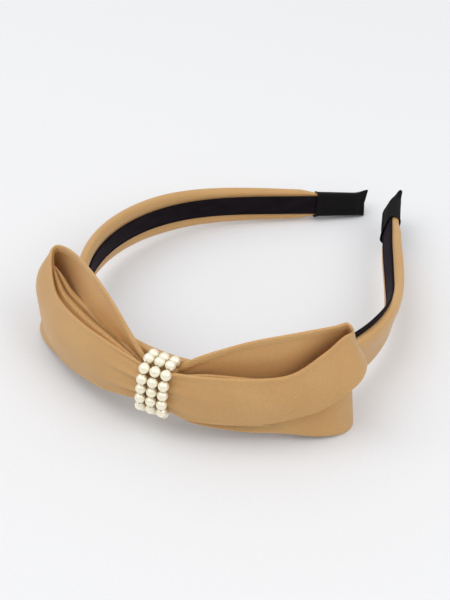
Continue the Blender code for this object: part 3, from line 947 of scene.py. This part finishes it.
def bow_gather(finish):
    """The gathered satin under the pearls: a round-cornered sleeve with pinched folds."""
    along = np.linspace(-KNOT_LENGTH / 2, KNOT_LENGTH / 2, KNOT_RINGS)[:, None]
    turn = np.linspace(0, 2 * np.pi, KNOT_POINTS, endpoint=False)[None, :]
    out_mid, out_half = sum(KNOT_OUTWARD) / 2, (KNOT_OUTWARD[1] - KNOT_OUTWARD[0]) / 2
    high_mid, high_half = sum(KNOT_ACROSS) / 2, (KNOT_ACROSS[1] - KNOT_ACROSS[0]) / 2
    folds = 0.22 * MM * np.cos(15 * turn + 0.6 * np.sin(3 * turn) + 60 * along)
    folds = folds + 0.12 * MM * np.cos(31 * turn - 150 * along)
    cos, sin = np.cos(turn), np.sin(turn)
    out = out_mid + (out_half - KNOT_INSET + folds) * np.sign(cos) * np.abs(cos) ** 0.72
    high = high_mid + (high_half - KNOT_INSET + folds) * np.sign(sin) * np.abs(sin) ** 0.72
    piece = cloth("satin_gather", knot_points(along, out, high), finish, closed=True, ends=True)
    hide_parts("bow_centre")
    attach(piece, "crown")
    return piece


def bead_mesh(finish):
    """A drilled pearl turned about Z: its outline is an arc with a softened hole at each end."""
    edge = math.asin(PEARL_BORE / PEARL_RADIUS)
    angles = np.linspace(edge + BEAD_LIP, math.pi - edge - BEAD_LIP, BEAD_RINGS)
    outline = [(PEARL_RADIUS * math.sin(a), PEARL_RADIUS * math.cos(a)) for a in angles]
    lip = PEARL_RADIUS * math.cos(edge)
    inner = PEARL_BORE * 0.8
    outline = [(inner, lip - 0.25 * MM), (PEARL_BORE * 0.95, lip - 0.03 * MM)] + outline
    outline += [(PEARL_BORE * 0.95, -lip + 0.03 * MM), (inner, -lip + 0.25 * MM)]
    made = bmesh.new()
    rows = []
    for radius, height in outline:
        rows.append([
            made.verts.new((radius * math.cos(a), radius * math.sin(a), height))
            for a in np.linspace(0, 2 * math.pi, BEAD_STEPS, endpoint=False)
        ])
    rows.append(rows[0])
    for low, high in zip(rows, rows[1:]):
        for j in range(BEAD_STEPS):
            k = (j + 1) % BEAD_STEPS
            made.faces.new((low[j], high[j], high[k], low[k])).smooth = True
    bmesh.ops.recalc_face_normals(made, faces=made.faces)
    mesh = bpy.data.meshes.new("bead")
    made.to_mesh(mesh)
    made.free()
    mesh.materials.append(finish)
    return mesh


def beads(finish):
    """One fine pearl at the place of each of the frame's pearls, with its hole along the row."""
    mesh = bead_mesh(finish)
    for row in range(1, STRANDS + 1):
        names = [f"pearl_{row}_{j}" for j in range(1, PEARLS_PER_STRAND + 1)]
        spots = [(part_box(name)[0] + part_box(name)[1]) / 2 for name in names]
        for j, (name, spot) in enumerate(zip(names, spots)):
            ahead = spots[min(j + 1, len(spots) - 1)] - spots[max(j - 1, 0)]
            piece = bpy.data.objects.new(f"bead_{row}_{j + 1}", mesh)
            bpy.context.scene.collection.objects.link(piece)
            turn = ahead.to_track_quat("Z", "Y").to_matrix().to_4x4()
            piece.matrix_world = Matrix.Translation(spot) @ turn
            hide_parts(name)
            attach(piece, "crown")


# --------------------------------------------------------------------------------------- build

bpy.context.scene.view_settings.view_transform = "Standard"
camera()
studio()

satin = satin_finish("champagne_satin")
# A brightened copy of the satin, painted light for the loops' inner faces.
lit_inner_satin = satin_finish("satin_inner_painted_light", INNER_WALL_LIGHT_GAIN)
velvet = lining_finish()
grosgrain = tip_finish()
for side in SIDES:
    cover(side, satin)
    lining(side, velvet)
    tip_wrap(side, grosgrain)

left_loop = loop_piece(-1, LEFT_LOOP, LEFT_LOOK, satin, lit_inner_satin)
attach(left_loop, "crown")
right_loop = loop_piece(1, RIGHT_LOOP, RIGHT_LOOK, satin, lit_inner_satin)
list(flex_line(1))
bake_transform(right_loop)
bow_gather(satin)
beads(pearl_finish())

hidden_finishes = {"core": core_finish(), "thread": thread_finish()}
for name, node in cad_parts.items():
    finish = hidden_finishes.get(name.split("_")[0])
    if finish:
        for spot in node.material_slots:
            spot.material = finish
